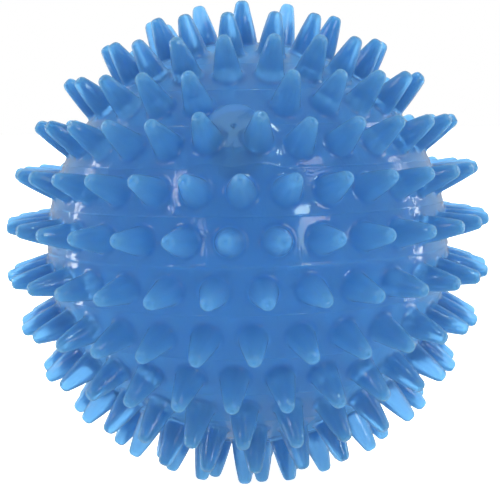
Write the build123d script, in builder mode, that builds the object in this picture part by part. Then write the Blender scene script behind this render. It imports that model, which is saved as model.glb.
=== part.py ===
from build123d import *
import os
from math import cos, radians, sin, sqrt

# Inflatable spiky massage ball. Millimetres and degrees.
# The origin is the ball's centre, +Z runs through the poles of the spike rows,
# and the needle valve is on the front, near -Y.

# ---- Driving dimensions ----
ball_diameter = 100.0           # over the spike tips
skin_diameter = 83.0            # smooth ball between the spikes
wall = 2.6                      # moulded skin

spike_foot_diameter = 5.5       # where a spike leaves the skin
spike_flank_bulge = 0.15        # the flanks are slightly convex
tip_corner_radius = 1.12        # half width of the blunt tip before it is rounded
tip_rounding = 0.9

row_pitch = 12.2                # latitude from one row of spikes to the next
# Spikes in each row, from the row beside the equator to the row beside the pole,
# and how far one spike of the row stands to the right of -Y, seen from the front.
north_counts = (31, 31, 28, 24, 19, 13, 4)
north_turns = (-3.3, -0.3, 3.8, 0.0, -6.5, -8.0, -0.7)
south_counts = (30, 29, 27, 23, 19, 13, 5)
south_turns = (4.8, 2.1, -3.4, -1.2, 2.4, -3.1, 14.9)

valve_row = 3                   # the valve is at this northern row's upper edge
beside_valve_aside = 1.0        # the row's two spikes beside the valve stand this much
beside_valve_up = 1.6           # further aside and higher than the others
needle_diameter = 2.0           # inflating needle's passage
needle_depth = 8.0              # from the outside of the skin to the closed slit
core_diameter = 5.2             # soft plug that seals itself when the needle leaves
core_collar_diameter = 6.6
core_collar_height = 1.6
core_length = 7.0
housing_diameter = 10.0         # boss moulded inside the skin around the plug
housing_floor = 1.4             # lip under the plug
air_hole_diameter = 2.8
housing_chamfer = 0.8
collar_depth = 2.2              # from the plug's rim to the top of its collar

ball_radius = ball_diameter / 2
skin_radius = skin_diameter / 2
cavity_radius = skin_radius - wall
foot_radius = spike_foot_diameter / 2
front = -90.0                   # azimuth of -Y, counted from +X

valve_latitude = valve_row * row_pitch
valve_half_gap = 180 / north_counts[valve_row - 1]
valve_turn = north_turns[valve_row - 1] - valve_half_gap
valve_azimuth = radians(front + valve_turn)
valve_flat = cos(radians(valve_latitude))
valve = Plane(
    origin=(0, 0, 0),
    x_dir=(-sin(valve_azimuth), cos(valve_azimuth), 0),
    z_dir=(
        valve_flat * cos(valve_azimuth),
        valve_flat * sin(valve_azimuth),
        sin(radians(valve_latitude)),
    ),
)
valve_axis = Axis((0, 0, 0), valve.z_dir)
valve_section = Plane(origin=(0, 0, 0), x_dir=valve.x_dir, z_dir=-valve.y_dir)

os.makedirs("parts", exist_ok=True)


def on_sphere(radius, offset):
    """Point of a sphere's section at the given distance from the axis."""
    return (offset, sqrt(radius**2 - offset**2))


# ---- Skin: hollow ball with the needle hole ----
with BuildPart() as skin:
    Sphere(skin_radius)
    Sphere(cavity_radius, mode=Mode.SUBTRACT)
    with BuildSketch(valve):
        Circle(needle_diameter / 2)
    extrude(amount=ball_radius, mode=Mode.SUBTRACT)
skin.part.label = "skin"
export_step(skin.part, "parts/skin.step")


# ---- Needle valve: a soft plug held by its collar in a boss inside the skin ----
plug_radius = core_diameter / 2
collar_radius = core_collar_diameter / 2
plug_rim = on_sphere(cavity_radius, plug_radius)
collar_top = plug_rim[1] - collar_depth
collar_bottom = collar_top - core_collar_height
plug_bottom = plug_rim[1] - core_length

with BuildPart() as plug_blank:
    with BuildSketch(valve_section):
        with BuildLine():
            ThreePointArc((0, cavity_radius), on_sphere(cavity_radius, plug_radius / 2), plug_rim)
            Polyline(
                plug_rim,
                (plug_radius, collar_top),
                (collar_radius, collar_top),
                (collar_radius, collar_bottom),
                (plug_radius, collar_bottom),
                (plug_radius, plug_bottom),
                (0, plug_bottom),
                (0, cavity_radius),
            )
        make_face()
    revolve(axis=valve_axis)

with BuildPart() as valve_core:
    add(plug_blank.part)
    with BuildSketch(valve.offset(skin_radius - needle_depth)):
        Circle(needle_diameter / 2)
    extrude(amount=needle_depth, mode=Mode.SUBTRACT)
valve_core.part.label = "valve_core"
export_step(valve_core.part, "parts/valve_core.step")

housing_radius = housing_diameter / 2
housing_rim = on_sphere(cavity_radius, housing_radius)
housing_bottom = plug_bottom - housing_floor

with BuildPart() as valve_housing:
    with BuildSketch(valve_section):
        with BuildLine():
            ThreePointArc(
                (0, cavity_radius), on_sphere(cavity_radius, housing_radius / 2), housing_rim
            )
            Polyline(
                housing_rim,
                (housing_radius, housing_bottom),
                (0, housing_bottom),
                (0, cavity_radius),
            )
        make_face()
    revolve(axis=valve_axis)
    chamfer(
        valve_housing.edges().filter_by(GeomType.CIRCLE).sort_by(valve_axis)[0],
        length=housing_chamfer,
    )
    add(plug_blank.part, mode=Mode.SUBTRACT)
    with BuildSketch(valve.offset(housing_bottom)):
        Circle(air_hole_diameter / 2)
    extrude(amount=housing_floor, mode=Mode.SUBTRACT)
valve_housing.part.label = "valve_housing"
export_step(valve_housing.part, "parts/valve_housing.step")


# ---- Spikes: solid cones with blunt tips, moulded in one with the skin ----
with BuildPart() as spike:
    with BuildSketch(Plane.XZ):
        with BuildLine():
            foot = ThreePointArc(
                (0, skin_radius),
                on_sphere(skin_radius, foot_radius / 2),
                on_sphere(skin_radius, foot_radius),
            )
            flank = SagittaArc(foot @ 1, (tip_corner_radius, ball_radius), spike_flank_bulge)
            Polyline(flank @ 1, (0, ball_radius), foot @ 0)
        make_face()
        fillet(vertices().group_by(Axis.Y)[-1].sort_by(Axis.X)[-1], radius=tip_rounding)
    revolve(axis=Axis.Z)


def spike_row(name, latitude, count, turn, gap=0, moved=()):
    """Write one ring of spikes. A gap leaves out that many spikes, the last of them at the
    row's turn, and moved spikes stand at latitudes and turns of their own."""
    step = 360 / count
    with BuildPart() as row:
        with PolarLocations(
            radius=0,
            count=count - gap,
            start_angle=front + turn + (step if gap else 0),
            angular_range=360 - ((gap + 1) * step if gap else 0),
            endpoint=gap > 0,
        ):
            with Locations(Location((0, 0, 0), (0, 90 - latitude, 0))):
                add(spike.part)
        for own_latitude, own_turn in moved:
            with PolarLocations(radius=0, count=1, start_angle=front + own_turn):
                with Locations(Location((0, 0, 0), (0, 90 - own_latitude, 0))):
                    add(spike.part)
    row.part.label = name
    export_step(row.part, f"parts/{name}.step")


for number, (count, turn) in enumerate(zip(north_counts, north_turns), start=1):
    latitude = (number - 0.5) * row_pitch
    name = f"spike_row_north_{number}"
    if number == valve_row:
        aside = valve_half_gap + beside_valve_aside
        higher = latitude + beside_valve_up
        beside_valve = ((higher, valve_turn - aside), (higher, valve_turn + aside))
        spike_row(name, latitude, count, turn, gap=2, moved=beside_valve)
    else:
        # The row above the valve has no spike where it would crowd the needle.
        spike_row(name, latitude, count, turn, gap=1 if number == valve_row + 1 else 0)

for number, (count, turn) in enumerate(zip(south_counts, south_turns), start=1):
    latitude = -(number - 0.5) * row_pitch
    spike_row(f"spike_row_south_{number}", latitude, count, turn)
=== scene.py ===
import bpy
import bmesh
import math
import numpy as np
from mathutils import Matrix, Vector


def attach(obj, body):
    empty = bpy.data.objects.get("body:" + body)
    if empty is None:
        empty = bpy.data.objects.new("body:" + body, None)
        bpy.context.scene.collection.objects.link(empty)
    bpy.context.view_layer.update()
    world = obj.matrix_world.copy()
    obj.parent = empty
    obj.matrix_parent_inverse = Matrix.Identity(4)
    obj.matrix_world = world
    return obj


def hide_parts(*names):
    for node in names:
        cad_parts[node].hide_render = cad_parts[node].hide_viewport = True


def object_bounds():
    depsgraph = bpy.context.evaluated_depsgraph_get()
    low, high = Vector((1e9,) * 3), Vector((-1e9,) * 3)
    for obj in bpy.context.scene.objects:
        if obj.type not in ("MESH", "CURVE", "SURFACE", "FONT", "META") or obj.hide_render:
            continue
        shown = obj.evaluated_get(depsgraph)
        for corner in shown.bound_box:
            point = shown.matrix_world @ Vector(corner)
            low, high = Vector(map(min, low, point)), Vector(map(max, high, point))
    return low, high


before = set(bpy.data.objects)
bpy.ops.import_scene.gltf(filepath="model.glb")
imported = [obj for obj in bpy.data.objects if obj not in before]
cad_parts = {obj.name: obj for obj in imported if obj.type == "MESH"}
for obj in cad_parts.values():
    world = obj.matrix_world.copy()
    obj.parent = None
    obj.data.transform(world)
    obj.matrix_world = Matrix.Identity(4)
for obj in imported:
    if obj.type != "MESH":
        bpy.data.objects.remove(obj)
cad_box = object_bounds()

# Spiky massage ball. Metres and degrees, in the part's frame: the origin is the ball's
# centre, +Z runs through the poles of the spike rows and the needle valve is near -Y.
MM = 0.001

# ---- Sizes, the same as the part's ----
BALL_RADIUS = 50.0 * MM
SKIN_RADIUS = 41.5 * MM
CAVITY_RADIUS = 38.92 * MM      # a hair over the valve housing's rim, which it covers
SPIKE_FOOT_RADIUS = 2.75 * MM
SPIKE_BULGE = 0.15 * MM
TIP_CORNER_RADIUS = 1.12 * MM
TIP_ROUNDING = 0.9 * MM
ROW_PITCH = 12.2
NORTH_COUNTS = (31, 31, 28, 24, 19, 13, 4)
NORTH_TURNS = (-3.3, -0.3, 3.8, 0.0, -6.5, -8.0, -0.7)
SOUTH_COUNTS = (30, 29, 27, 23, 19, 13, 5)
SOUTH_TURNS = (4.8, 2.1, -3.4, -1.2, 2.4, -3.1, 14.9)
FRONT = -90.0
VALVE_ROW = 3                   # the valve is at this northern row's upper edge
BESIDE_VALVE_ASIDE = 1.0        # the row's two spikes beside the valve stand this much
BESIDE_VALVE_UP = 1.6           # further aside and higher than the others
VALVE_TURN = NORTH_TURNS[VALVE_ROW - 1] - 180 / NORTH_COUNTS[VALVE_ROW - 1]

# ---- Moulded details that only show in the looks ----
FOOT_FILLET = 0.75 * MM         # concave root where a spike runs into the skin
DIMPLE_DEPTH = 0.08 * MM        # shallow mark in each blunt tip
PAD_RADIUS = 4.9 * MM           # flat pad over the valve's boss
PAD_HEIGHT = 0.12 * MM
PAD_LINE_HEIGHT = 0.10 * MM     # fine line around the pad
PAD_LINE_WIDTH = 0.35 * MM
MOUTH_RADIUS = 0.40 * MM        # the needle's mouth, which closes to a small dimple
MOUTH_DEPTH = 0.25 * MM
PAD_SURROUND = 1.5 * MM         # skin around the pad whose faces are cut finer
PAD_EDGE = 0.6 * MM             # and once more this near the pad's edge
ASIDE_FADE = 2.8                # degrees past a spike's root over which the skin
HIGHER_FADE = 4.4               # follows the spike that is moved aside and higher
SPIKE_FADE = 3.0 * MM           # height up a spike over which the pad's shape dies out
BAND_FLATNESS = 0.95            # the mould's rings are turned flatter than a sphere
STEP_WIDTH = 3.0                # degrees from a ring's edge to the step in it
SEAM_HEIGHT = 0.07 * MM         # fine line left between two rings of the mould
SEAM_WIDTH = 0.22 * MM
PARTING_HEIGHT = 0.10 * MM      # the mould's halves leave a wider line at the equator
PARTING_WIDTH = 0.5 * MM
LEAN = 0.10 * MM                # how far a soft spike's tip may stand off its axis
SHORTER = 0.12 * MM             # and how much lower than its full height
AROUND = 36                     # mesh points around a spike
ROW_GAP = 0.03                  # half the strip that joins two rows of cells, degrees


# ---------------------------------------------------------------- moulded skin mesh

def degrees_on_skin(length):
    return np.degrees(length / SKIN_RADIUS)


def flat_ring(latitude, low, high):
    """How far a flat ring of the mould lies inside the sphere between two latitudes."""
    half = (high - low) / 2
    away = np.minimum(np.abs(latitude - (low + high) / 2), half)
    return SKIN_RADIUS * (1 - np.cos(np.radians(half)) / np.cos(np.radians(away)))


def fine_line(latitude, seam, width, height):
    reach = np.minimum(np.abs(latitude - seam) / degrees_on_skin(width / 2), 3)
    return height * np.exp(-reach**4)


def skin_radius_at(latitude):
    """Radius of the moulded skin. Each ring of the mould is turned flat, in a narrow and a
    wide step, and leaves a fine raised line at its edge."""
    lat = np.abs(latitude)
    rings = len(NORTH_COUNTS) - 1
    edge = np.minimum(np.floor(lat / ROW_PITCH), rings - 1) * ROW_PITCH
    step = edge + STEP_WIDTH
    inset = np.where(
        lat < step, flat_ring(lat, edge, step), flat_ring(lat, step, edge + ROW_PITCH)
    )
    radius = SKIN_RADIUS - BAND_FLATNESS * np.where(lat < rings * ROW_PITCH, inset, 0)
    radius = radius + fine_line(lat, 0, PARTING_WIDTH, PARTING_HEIGHT)
    for ring in range(rings):
        if ring:
            radius = radius + fine_line(lat, ring * ROW_PITCH, SEAM_WIDTH, SEAM_HEIGHT)
        radius = radius + fine_line(
            lat, ring * ROW_PITCH + STEP_WIDTH, SEAM_WIDTH, SEAM_HEIGHT / 2
        )
    return radius


def direction(azimuth, latitude):
    """Unit ray; the azimuth is counted from the front, positive to the right."""
    az = math.radians(FRONT + azimuth)
    lat = math.radians(latitude)
    return np.array([math.cos(lat) * math.cos(az), math.cos(lat) * math.sin(az), math.sin(lat)])


def on_skin(rays):
    """Points of the skin along unit rays."""
    latitude = np.degrees(np.arcsin(np.clip(rays[..., 2], -1, 1)))
    return rays * skin_radius_at(latitude)[..., None]


def spike_outline():
    """The spike above its root, as (distance from the axis, distance from the centre)."""
    foot = np.array([SPIKE_FOOT_RADIUS, math.sqrt(SKIN_RADIUS**2 - SPIKE_FOOT_RADIUS**2)])
    corner = np.array([TIP_CORNER_RADIUS, BALL_RADIUS])
    flank = corner - foot
    length = np.linalg.norm(flank)
    outward = np.array([flank[1], -flank[0]]) / length
    slope = math.atan2(-flank[0], flank[1])
    trim = TIP_ROUNDING * math.tan((math.pi / 2 - slope) / 2)
    points = []
    for t in np.linspace(FOOT_FILLET / length, 1 - trim / length, 6):
        points.append(foot + flank * t + outward * 4 * SPIKE_BULGE * t * (1 - t))
    centre = np.array([TIP_CORNER_RADIUS - trim, BALL_RADIUS - TIP_ROUNDING])
    start = math.atan2(*(points[-1] - centre)[::-1])
    for angle in np.linspace(start, math.pi / 2, 6)[1:]:
        points.append(centre + TIP_ROUNDING * np.array([math.cos(angle), math.sin(angle)]))
    rim = points[-1][0]
    for across, depth in ((0.75, 0.2), (0.5, 0.8), (0.2, 1.0)):
        points.append(np.array([rim * across, BALL_RADIUS - DIMPLE_DEPTH * depth]))
    return points


class Cell:
    """One spike with the piece of skin around it, standing over azimuth 0. A row is the
    same cell turned about the Z axis again and again."""

    def __init__(self, latitude, low, high, count):
        self.half_width = 180 / count
        self.low = low
        self.high = high
        lat = math.radians(latitude)
        self.axis = np.array([math.cos(lat), 0, math.sin(lat)])
        self.east = np.array([0, 1, 0])
        self.north = np.array([-math.sin(lat), 0, math.cos(lat)])
        self.turn = np.arange(AROUND) * 2 * math.pi / AROUND
        self.reach = self.border_reach()
        for corner in self.corners():
            self.snap(corner)

    def rays(self, reach):
        """Unit rays at an angle from the spike's axis, one for each point around it."""
        reach = np.broadcast_to(reach, self.turn.shape)[:, None]
        side = np.cos(self.turn)[:, None] * self.east + np.sin(self.turn)[:, None] * self.north
        return np.cos(reach) * self.axis + np.sin(reach) * side

    def border_reach(self):
        near = np.zeros(AROUND)
        far = np.full(AROUND, math.radians(60))
        for _ in range(50):
            middle = (near + far) / 2
            ray = self.rays(middle)
            latitude = np.degrees(np.arcsin(ray[:, 2]))
            azimuth = np.degrees(np.abs(np.arctan2(ray[:, 1], ray[:, 0])))
            inside = (latitude > self.low) & (latitude < self.high) & (azimuth < self.half_width)
            near = np.where(inside, middle, near)
            far = np.where(inside, far, middle)
        return near

    def corners(self):
        for latitude in (self.low, self.high):
            sides = (0,) if abs(latitude) == 90 else (-1, 1)
            for side in sides:
                lat = math.radians(latitude)
                az = math.radians(side * self.half_width)
                yield np.array(
                    [math.cos(lat) * math.cos(az), math.cos(lat) * math.sin(az), math.sin(lat)]
                )

    def snap(self, corner):
        """Moves the nearest border point into the corner."""
        turn = math.atan2(corner @ self.north, corner @ self.east) % (2 * math.pi)
        nearest = int(np.argmin(np.abs((self.turn - turn + math.pi) % (2 * math.pi) - math.pi)))
        self.turn[nearest] = turn
        self.reach[nearest] = math.acos(min(1.0, corner @ self.axis))

    def skin_rings(self, inner):
        """Rings of skin points from the cell's border in to the given angle."""
        room = np.minimum(self.reach - inner, MM / SKIN_RADIUS)
        reaches = [self.reach - step * room for step in (0, 0.12, 0.25, 0.5)]
        last = reaches[-1]
        reaches += [last + (inner - last) * share for share in (0.25, 0.5, 0.75, 1.0)]
        return [on_skin(self.rays(reach)) for reach in reaches]

    def spike_rings(self):
        """The whole cell: skin, concave root, flank, rounding and dimple."""
        foot = SPIKE_FOOT_RADIUS / SKIN_RADIUS
        rings = self.skin_rings((SPIKE_FOOT_RADIUS + FOOT_FILLET) / SKIN_RADIUS)
        heights = [0.0] * len(rings)
        outer = rings[-1]
        corner = on_skin(self.rays(foot))
        outline = spike_outline()
        side = self.rays(math.pi / 2)
        first = side * outline[0][0] + self.axis * outline[0][1]
        for t in (0.25, 0.5, 0.75):
            rings.append(outer * (1 - t) ** 2 + corner * 2 * t * (1 - t) + first * t**2)
            heights.append(FOOT_FILLET * t**2)
        for across, along in outline:
            rings.append(side * across + self.axis * along)
            heights.append(along - SKIN_RADIUS)
        tip = self.axis * (BALL_RADIUS - DIMPLE_DEPTH)
        return rings, heights, tip

    def bare_rings(self):
        """A cell with no spike."""
        rings = self.skin_rings(SPIKE_FOOT_RADIUS / SKIN_RADIUS)
        for share in (0.7, 0.4, 0.15):
            rings.append(on_skin(self.rays(share * SPIKE_FOOT_RADIUS / SKIN_RADIUS)))
        return rings, on_skin(self.axis[None])[0]

    def border(self, latitude):
        """Azimuths of the border points on the cell's upper or lower side."""
        ray = self.rays(self.reach)
        on_side = np.abs(np.degrees(np.arcsin(ray[:, 2])) - latitude) < 1e-6
        return np.degrees(np.arctan2(ray[on_side, 1], ray[on_side, 0]))


def turned(points, azimuth):
    a = math.radians(azimuth)
    spin = np.array([[math.cos(a), math.sin(a), 0], [-math.sin(a), math.cos(a), 0], [0, 0, 1]])
    return points @ spin


class MeshBuilder:
    """Collects points and faces; points that fall together are welded at the end."""

    def __init__(self):
        self.points = []
        self.faces = []
        self.count = 0

    def add_points(self, points):
        first = self.count
        self.points.append(points)
        self.count += len(points)
        return first

    def add_cell(self, rings, tip):
        first = self.add_points(np.concatenate(rings + [tip[None]]))
        step = np.arange(AROUND)
        after = (step + 1) % AROUND
        for ring in range(len(rings) - 1):
            outer = first + ring * AROUND
            inner = outer + AROUND
            quads = np.stack([outer + step, outer + after, inner + after, inner + step], axis=1)
            self.faces += quads.tolist()
        last = first + (len(rings) - 1) * AROUND
        top = first + len(rings) * AROUND
        self.faces += [[last + i, last + (i + 1) % AROUND, top] for i in range(AROUND)]

    def zip_rows(self, lower, upper, low, high):
        """Joins two rings of border points that stand at different azimuths."""
        def ring(azimuths, latitude):
            az = np.radians(azimuths)
            lat = math.radians(latitude)
            flat = np.full(len(az), math.sin(lat))
            return np.stack([np.cos(az) * math.cos(lat), np.sin(az) * math.cos(lat), flat], axis=1)

        a = self.add_points(on_skin(ring(lower, low)))
        b = self.add_points(on_skin(ring(upper, high)))
        lower_ends = np.append(lower, lower[0] + 360)
        upper_ends = np.append(upper, upper[0] + 360)
        i = j = 0
        while i < len(lower) or j < len(upper):
            low_next = i < len(lower) and (
                j == len(upper) or lower_ends[i + 1] < upper_ends[j + 1]
            )
            here = a + i % len(lower)
            there = b + j % len(upper)
            if low_next:
                self.faces.append([here, a + (i + 1) % len(lower), there])
                i += 1
            else:
                self.faces.append([here, b + (j + 1) % len(upper), there])
                j += 1

    def add_cavity(self):
        """The inside of the hollow ball, facing inwards."""
        rings = 60
        points = [[0, 0, -CAVITY_RADIUS], [0, 0, CAVITY_RADIUS]]
        for latitude in np.radians(np.linspace(-90, 90, rings + 1)[1:-1]):
            for azimuth in np.radians(np.linspace(0, 360, 2 * rings, endpoint=False)):
                flat = math.cos(latitude)
                ray = [flat * math.cos(azimuth), flat * math.sin(azimuth), math.sin(latitude)]
                points.append([CAVITY_RADIUS * part for part in ray])
        first = self.add_points(np.array(points))
        around = 2 * rings
        for ring in range(rings - 2):
            lower = first + 2 + ring * around
            upper = lower + around
            for i in range(around):
                after = (i + 1) % around
                self.faces.append([lower + i, upper + i, upper + after, lower + after])
        bottom = first + 2
        top = first + 2 + (rings - 2) * around
        for i in range(around):
            after = (i + 1) % around
            self.faces.append([first, bottom + i, bottom + after])
            self.faces.append([first + 1, top + after, top + i])

    def finish(self, name):
        mesh = bpy.data.meshes.new(name)
        mesh.from_pydata(np.concatenate(self.points).tolist(), [], self.faces)
        work = bmesh.new()
        work.from_mesh(mesh)
        bmesh.ops.remove_doubles(work, verts=work.verts, dist=0.0005 * MM)
        refine_near_valve(work, 0, PAD_RADIUS + PAD_SURROUND)
        refine_near_valve(work, PAD_RADIUS - PAD_EDGE, PAD_RADIUS + PAD_EDGE)
        refine_near_valve(work, 0, 3 * MOUTH_RADIUS)
        bmesh.ops.triangulate(work, faces=[face for face in work.faces if len(face.verts) > 4])
        shaped = shape_valve(np.array([vertex.co for vertex in work.verts]))
        for vertex, point in zip(work.verts, shaped):
            vertex.co = point
        work.to_mesh(mesh)
        work.free()
        mesh.shade_smooth()
        piece = bpy.data.objects.new(name, mesh)
        bpy.context.scene.collection.objects.link(piece)
        return piece


def smooth_step(value, start, end):
    share = np.clip((value - start) / (end - start), 0, 1)
    return share * share * (3 - 2 * share)


def refine_near_valve(work, near, far):
    """Cuts the skin's faces finer between two distances from the valve's axis."""
    axis = Vector(direction(VALVE_TURN, VALVE_ROW * ROW_PITCH))
    edges = set()
    for face in work.faces:
        centre = face.calc_center_median()
        along = centre.dot(axis)
        if along < CAVITY_RADIUS or not near < (centre - axis * along).length < far:
            continue
        points = np.array([vertex.co for vertex in face.verts])
        height = np.linalg.norm(points, axis=1) - np.linalg.norm(on_skin_again(points), axis=1)
        if np.all(np.abs(height) < 0.01 * MM):
            edges.update(face.edges)
    made = bmesh.ops.subdivide_edges(work, edges=list(edges), cuts=2, use_grid_fill=True)
    for vertex in {part for part in made["geom_inner"] if isinstance(part, bmesh.types.BMVert)}:
        vertex.co = on_skin_again(np.array([vertex.co]))[0]


def on_skin_again(points):
    """The points moved along their rays onto the skin."""
    return on_skin(points / np.linalg.norm(points, axis=-1, keepdims=True))


def shape_valve(points):
    """Moves the two spikes beside the valve aside and presses the skin over the valve's boss
    into a flat pad with a fine line around it and the needle's closed mouth in its middle."""
    radius = np.linalg.norm(points, axis=1)
    outside = radius > (CAVITY_RADIUS + SKIN_RADIUS) / 2
    rays = points[outside] / radius[outside, None]
    radius = radius[outside]
    base = skin_radius_at(np.degrees(np.arcsin(np.clip(rays[:, 2], -1, 1))))
    level = 1 - np.clip((radius - base) / SPIKE_FADE, 0, 1)
    foot = math.degrees((SPIKE_FOOT_RADIUS + FOOT_FILLET) / SKIN_RADIUS)
    latitude = (VALVE_ROW - 0.5) * ROW_PITCH
    moved = rays.copy()
    for side in (-1, 1):
        azimuth = VALVE_TURN + side * 180 / NORTH_COUNTS[VALVE_ROW - 1]
        old = direction(azimuth, latitude)
        aside = direction(azimuth + side * BESIDE_VALVE_ASIDE, latitude) - old
        higher = direction(azimuth, latitude + BESIDE_VALVE_UP) - old
        away = np.degrees(np.arccos(np.clip(rays @ old, -1, 1)))
        moved += (1 - smooth_step(away, foot, foot + ASIDE_FADE))[:, None] * aside
        moved += (1 - smooth_step(away, foot, foot + HIGHER_FADE))[:, None] * higher
    rays = moved / np.linalg.norm(moved, axis=1, keepdims=True)
    along = rays @ direction(VALVE_TURN, VALVE_ROW * ROW_PITCH)
    along = np.clip(along, 0.5, 1)
    across = radius * np.sqrt(1 - along**2)
    flat = math.sqrt(SKIN_RADIUS**2 - PAD_RADIUS**2) + PAD_HEIGHT
    half_line = PAD_LINE_WIDTH / 2
    inside = 1 - smooth_step(across, PAD_RADIUS - half_line, PAD_RADIUS + half_line)
    line = PAD_LINE_HEIGHT * np.exp(-((across - PAD_RADIUS) / half_line) ** 2)
    mouth = MOUTH_DEPTH * np.exp(-((across / MOUTH_RADIUS) ** 4))
    radius = radius + level * ((flat / along - base) * inside + line - mouth)
    points[outside] = rays * radius[:, None]
    return points


def ring_azimuths(cell, latitude, azimuths):
    """Sorted azimuths of one row's border points, each of them once."""
    around = np.concatenate([cell.border(latitude) + azimuth for azimuth in azimuths]) % 360
    around = np.sort(np.round(around, 7) % 360)
    keep = np.diff(np.append(around, around[0] + 360)) > 1e-5
    return around[keep]


def build_skin():
    """The moulded skin with all its spikes, one continuous closed mesh."""
    builder = MeshBuilder()
    chance = np.random.RandomState(12)
    rows = []
    for sign, counts, turns in ((1, NORTH_COUNTS, NORTH_TURNS), (-1, SOUTH_COUNTS, SOUTH_TURNS)):
        for index, (count, turn) in enumerate(zip(counts, turns)):
            inner = index * ROW_PITCH + ROW_GAP
            outer = (index + 1) * ROW_PITCH - ROW_GAP
            if index == len(counts) - 1:
                outer = 90
            low, high = sorted((sign * inner, sign * outer))
            cell = Cell(sign * (index + 0.5) * ROW_PITCH, low, high, count)
            azimuths = [FRONT + turn + 360 * i / count for i in range(count)]
            rings, heights, tip = cell.spike_rings()
            weights = np.repeat(heights + [BALL_RADIUS - SKIN_RADIUS], [AROUND] * len(rings) + [1])
            weights = np.clip(weights / (BALL_RADIUS - SKIN_RADIUS), 0, 1)[:, None]
            for i, azimuth in enumerate(azimuths):
                if sign == 1 and index == VALVE_ROW and i == 0:
                    bare_rings, middle = cell.bare_rings()
                    spun = [turned(ring, azimuth) for ring in bare_rings]
                    builder.add_cell(spun, turned(middle[None], azimuth)[0])
                    continue
                angle = chance.uniform(0, 2 * math.pi)
                lean = LEAN * math.sqrt(chance.uniform())
                sideways = lean * (math.cos(angle) * cell.east + math.sin(angle) * cell.north)
                shift = sideways - cell.axis * SHORTER * chance.uniform()
                cloud = np.concatenate(rings + [tip[None]]) + weights**1.3 * shift
                cloud = turned(cloud, azimuth)
                spun = [cloud[k * AROUND:(k + 1) * AROUND] for k in range(len(rings))]
                builder.add_cell(spun, cloud[-1])
            rows.append((low, high, cell, azimuths))
    rows.sort(key=lambda row: row[0])
    for below, above in zip(rows, rows[1:]):
        lower = ring_azimuths(below[2], below[1], below[3])
        upper = ring_azimuths(above[2], above[0], above[3])
        builder.zip_rows(lower, upper, below[1], above[0])
    builder.add_cavity()
    return builder.finish("moulded_skin")


skin = build_skin()
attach(skin, "root")
spike_rows = [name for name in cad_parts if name.startswith("spike_row_")]
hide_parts("skin", *spike_rows)


# ---------------------------------------------------------------- materials

def new_material(name):
    material = bpy.data.materials.new(name)
    material.use_nodes = True
    nodes = material.node_tree.nodes
    return material, nodes, material.node_tree.links, nodes["Principled BSDF"]


def add_noise(nodes, links, place, scale, detail=2.0):
    noise = nodes.new("ShaderNodeTexNoise")
    noise.inputs["Scale"].default_value = scale
    noise.inputs["Detail"].default_value = detail
    links.new(place, noise.inputs["Vector"])
    return noise.outputs["Fac"]


def add_ramp(nodes, links, value, stops):
    ramp = nodes.new("ShaderNodeValToRGB")
    while len(ramp.color_ramp.elements) < len(stops):
        ramp.color_ramp.elements.new(0.5)
    for element, (position, colour) in zip(ramp.color_ramp.elements, stops):
        element.position = position
        element.color = (*colour, 1)
    links.new(value, ramp.inputs["Fac"])
    return ramp.outputs["Color"]


def add_mix(nodes, links, factor, first, second):
    """Mixes two colours, each a socket or a plain colour."""
    mix = nodes.new("ShaderNodeMix")
    mix.data_type = "RGBA"
    links.new(factor, mix.inputs["Factor"])
    for name, colour in (("A", first), ("B", second)):
        socket = next(i for i in mix.inputs if i.name == name and i.type == "RGBA")
        if isinstance(colour, tuple):
            socket.default_value = (*colour, 1)
        else:
            links.new(colour, socket)
    return next(o for o in mix.outputs if o.type == "RGBA")


def soft_pvc():
    """Blue translucent PVC, painted deeper near the skin and paler towards the tips: painted light
    standing in for light shining through the thin spikes.
    """
    material, nodes, links, shader = new_material("soft_pvc")
    place = nodes.new("ShaderNodeTexCoord").outputs["Object"]
    length = nodes.new("ShaderNodeVectorMath")
    length.operation = "LENGTH"
    links.new(place, length.inputs[0])
    height = nodes.new("ShaderNodeMapRange")
    height.inputs["From Min"].default_value = SKIN_RADIUS
    height.inputs["From Max"].default_value = BALL_RADIUS
    links.new(length.outputs["Value"], height.inputs["Value"])
    # Painted light: the colour runs paler towards the tips to stand in for light shining through
    # the thin spikes.
    colour = add_ramp(nodes, links, height.outputs["Result"], (
        (0.0, (0.091, 0.268, 0.508)),
        (0.5, (0.099, 0.286, 0.525)),
        (1.0, (0.106, 0.286, 0.500)),
    ))
    links.new(colour, shader.inputs["Base Color"])
    shader.inputs["Subsurface Weight"].default_value = 1.0
    shader.inputs["Subsurface Radius"].default_value = (0.6, 0.85, 1.0)
    shader.inputs["Subsurface Scale"].default_value = 8.0 * MM
    shader.inputs["Transmission Weight"].default_value = 0.70
    shader.inputs["IOR"].default_value = 1.12
    shader.inputs["Coat Weight"].default_value = 0.8
    shader.inputs["Coat Roughness"].default_value = 0.07
    shader.inputs["Roughness"].default_value = 0.3
    ripple = add_noise(nodes, links, place, 2000, detail=0.0)
    patches = nodes.new("ShaderNodeMapRange")
    patches.inputs["From Min"].default_value = 0.46
    patches.inputs["From Max"].default_value = 0.62
    links.new(add_noise(nodes, links, place, 110), patches.inputs["Value"])
    bump = nodes.new("ShaderNodeBump")
    bump.inputs["Distance"].default_value = 0.05 * MM
    links.new(patches.outputs["Result"], bump.inputs["Strength"])
    links.new(ripple, bump.inputs["Height"])
    ray = nodes.new("ShaderNodeVectorMath")
    ray.operation = "NORMALIZE"
    links.new(place, ray.inputs[0])
    streaks = nodes.new("ShaderNodeBump")
    streaks.inputs["Distance"].default_value = 0.16 * MM
    links.new(height.outputs["Result"], streaks.inputs["Strength"])
    links.new(add_noise(nodes, links, ray.outputs["Vector"], 75), streaks.inputs["Height"])
    links.new(bump.outputs["Normal"], streaks.inputs["Normal"])
    links.new(streaks.outputs["Normal"], shader.inputs["Normal"])
    links.new(streaks.outputs["Normal"], shader.inputs["Coat Normal"])
    return material


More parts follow.
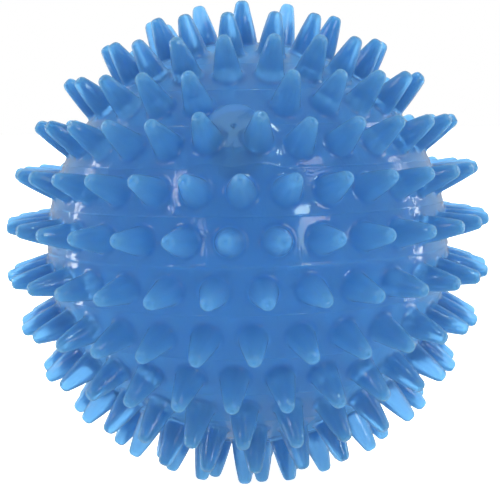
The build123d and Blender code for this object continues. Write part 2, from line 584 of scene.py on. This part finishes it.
def valve_material(name, colour, roughness, grain):
    """Plain moulded or rubber surface with a fine grain."""
    material, nodes, links, shader = new_material(name)
    place = nodes.new("ShaderNodeTexCoord").outputs["Object"]
    mottle = add_noise(nodes, links, place, grain)
    darker = tuple(channel * 0.8 for channel in colour)
    mottled = add_ramp(nodes, links, mottle, ((0.3, darker), (0.7, colour)))
    links.new(mottled, shader.inputs["Base Color"])
    shader.inputs["Roughness"].default_value = roughness
    bump = nodes.new("ShaderNodeBump")
    bump.inputs["Strength"].default_value = 0.3
    bump.inputs["Distance"].default_value = 0.03 * MM
    links.new(mottle, bump.inputs["Height"])
    links.new(bump.outputs["Normal"], shader.inputs["Normal"])
    return material


def dress(piece, material):
    piece.data.materials.clear()
    piece.data.materials.append(material)


dress(skin, soft_pvc())
for node, colour, roughness in (
    ("valve_housing", (0.18, 0.42, 0.68), 0.45),
    ("valve_core", (0.30, 0.48, 0.66), 0.7),
):
    material = valve_material(node, colour, roughness, 900)
    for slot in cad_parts[node].material_slots:
        slot.material = material


# ---------------------------------------------------------------- stage, lights, camera

FLOOR_HALF_WIDTH = 6.0
FLOOR_GLOW = 0.85               # keeps the floor as pale as the backdrop
FRONT_FILL = 0.63               # soft light from the room in front of the ball
BACK_FILL = 2.52                # and from the white backdrop behind it
WARM = (1.0, 0.93, 0.92)
COOL = (0.75, 1.0, 0.95)
VALVE_LIGHT = (0.4, 0.7, 1.0)

floor_mesh = bpy.data.meshes.new("floor")
floor_level = cad_box[0][2]
floor_corners = [
    (x * FLOOR_HALF_WIDTH, y * FLOOR_HALF_WIDTH, floor_level)
    for x, y in ((-1, -1), (1, -1), (1, 1), (-1, 1))
]
floor_mesh.from_pydata(floor_corners, [], [(0, 1, 2, 3)])
floor = bpy.data.objects.new("floor", floor_mesh)
bpy.context.scene.collection.objects.link(floor)
floor.visible_glossy = False
floor_material, _, _, floor_shader = new_material("floor")
floor_shader.inputs["Base Color"].default_value = (0.92, 0.92, 0.92, 1)
floor_shader.inputs["Roughness"].default_value = 0.9
floor_shader.inputs["Specular IOR Level"].default_value = 0.0
floor_shader.inputs["Emission Color"].default_value = (1, 1, 1, 1)
floor_shader.inputs["Emission Strength"].default_value = FLOOR_GLOW
dress(floor, floor_material)


def studio_world():
    """White backdrop behind the ball and a darker room in front of it, as a photographer has."""
    world = bpy.data.worlds.new("studio")
    bpy.context.scene.world = world
    world.use_nodes = True
    nodes = world.node_tree.nodes
    links = world.node_tree.links
    background = nodes["Background"]
    way = nodes.new("ShaderNodeTexCoord").outputs["Generated"]
    parts = nodes.new("ShaderNodeSeparateXYZ")
    links.new(way, parts.inputs["Vector"])
    depth = nodes.new("ShaderNodeMapRange")
    depth.inputs["From Min"].default_value = -1.0
    links.new(parts.outputs["Y"], depth.inputs["Value"])
    fill = add_ramp(nodes, links, depth.outputs["Result"], (
        (0.0, (FRONT_FILL,) * 3),
        (1.0, (BACK_FILL,) * 3),
    ))
    room = add_ramp(nodes, links, depth.outputs["Result"], (
        (0.0, (0.08, 0.08, 0.08)),
        (0.5, (0.20, 0.20, 0.20)),
        (0.8, (0.50, 0.50, 0.50)),
    ))
    path = nodes.new("ShaderNodeLightPath").outputs
    mirrored = nodes.new("ShaderNodeMath")
    mirrored.operation = "SUBTRACT"
    mirrored.use_clamp = True
    links.new(path["Is Glossy Ray"], mirrored.inputs[0])
    links.new(path["Is Transmission Ray"], mirrored.inputs[1])
    lighting = add_mix(nodes, links, mirrored.outputs["Value"], fill, room)
    seen = add_mix(nodes, links, path["Is Camera Ray"], lighting, (1.0, 1.0, 1.0))
    links.new(seen, background.inputs["Color"])


studio_world()
bpy.context.scene.view_settings.view_transform = "Standard"


def add_softbox(name, azimuth, elevation, spread, radiance, colour=(1, 1, 1), distance=3.0):
    """Area light that faces the ball. The azimuth is counted from the front, positive to the
    right, and spread is the light's width and height as the ball sees them, in degrees."""
    lamp = bpy.data.lights.new(name, "AREA")
    lamp.shape = "RECTANGLE"
    lamp.size, lamp.size_y = (2 * distance * math.tan(math.radians(part / 2)) for part in spread)
    lamp.energy = radiance * math.pi * lamp.size * lamp.size_y
    lamp.color = colour
    place = Vector(direction(azimuth, elevation))
    box = bpy.data.objects.new(name, lamp)
    box.location = place * distance
    box.rotation_euler = place.to_track_quat("Z", "Y").to_euler()
    bpy.context.scene.collection.objects.link(box)
    return box


add_softbox("softbox_top", -5, 78, (64, 64), 0.8).visible_glossy = False
add_softbox("softbox_valve", -17, 72.3, (8, 6), 2.8, VALVE_LIGHT)
add_softbox("softbox_left", -43.5, 30, (3.5, 18), 10.0, WARM)
add_softbox("softbox_left_bar", -52, 37, (22, 5), 5.0, WARM)
add_softbox("softbox_low_left", -25.5, 6, (6.5, 8), 4.0)
add_softbox("softbox_right", 30.5, 6, (3.5, 12), 5.0, COOL)
add_softbox("softbox_right_pink", 39.5, 13, (14, 12), 6.0, WARM)
add_softbox("softbox_right_high", 48, 41, (14, 13), 4.0, WARM)
add_softbox("lamp_right", 32.0, 22.0, (6.5, 8), 13.0, COOL)
add_softbox("lamp_front_high", 20.0, 59.2, (8, 8), 20.0, COOL)
add_softbox("strip_side_left", -112, 10, (4, 70), 8.0)
add_softbox("strip_side_right", 112, 10, (4, 70), 8.0)

CAMERA_DISTANCE = 4.865 * BALL_RADIUS
CAMERA_AZIMUTH = 1.1
CAMERA_ELEVATION = 6.13
CAMERA_ROLL = -1.03
lens = bpy.data.cameras.new("camera")
lens.sensor_width = 36
lens.lens = 83.2
lens.shift_x = 0.0048
lens.shift_y = -0.0158
lens.clip_start = 0.01
camera = bpy.data.objects.new("camera", lens)
away = Vector(direction(CAMERA_AZIMUTH, CAMERA_ELEVATION))
aim = away.to_track_quat("Z", "Y").to_matrix().to_4x4()
roll = Matrix.Rotation(math.radians(CAMERA_ROLL), 4, "Z")
camera.matrix_world = Matrix.Translation(away * CAMERA_DISTANCE) @ aim @ roll
bpy.context.scene.collection.objects.link(camera)
bpy.context.scene.camera = camera
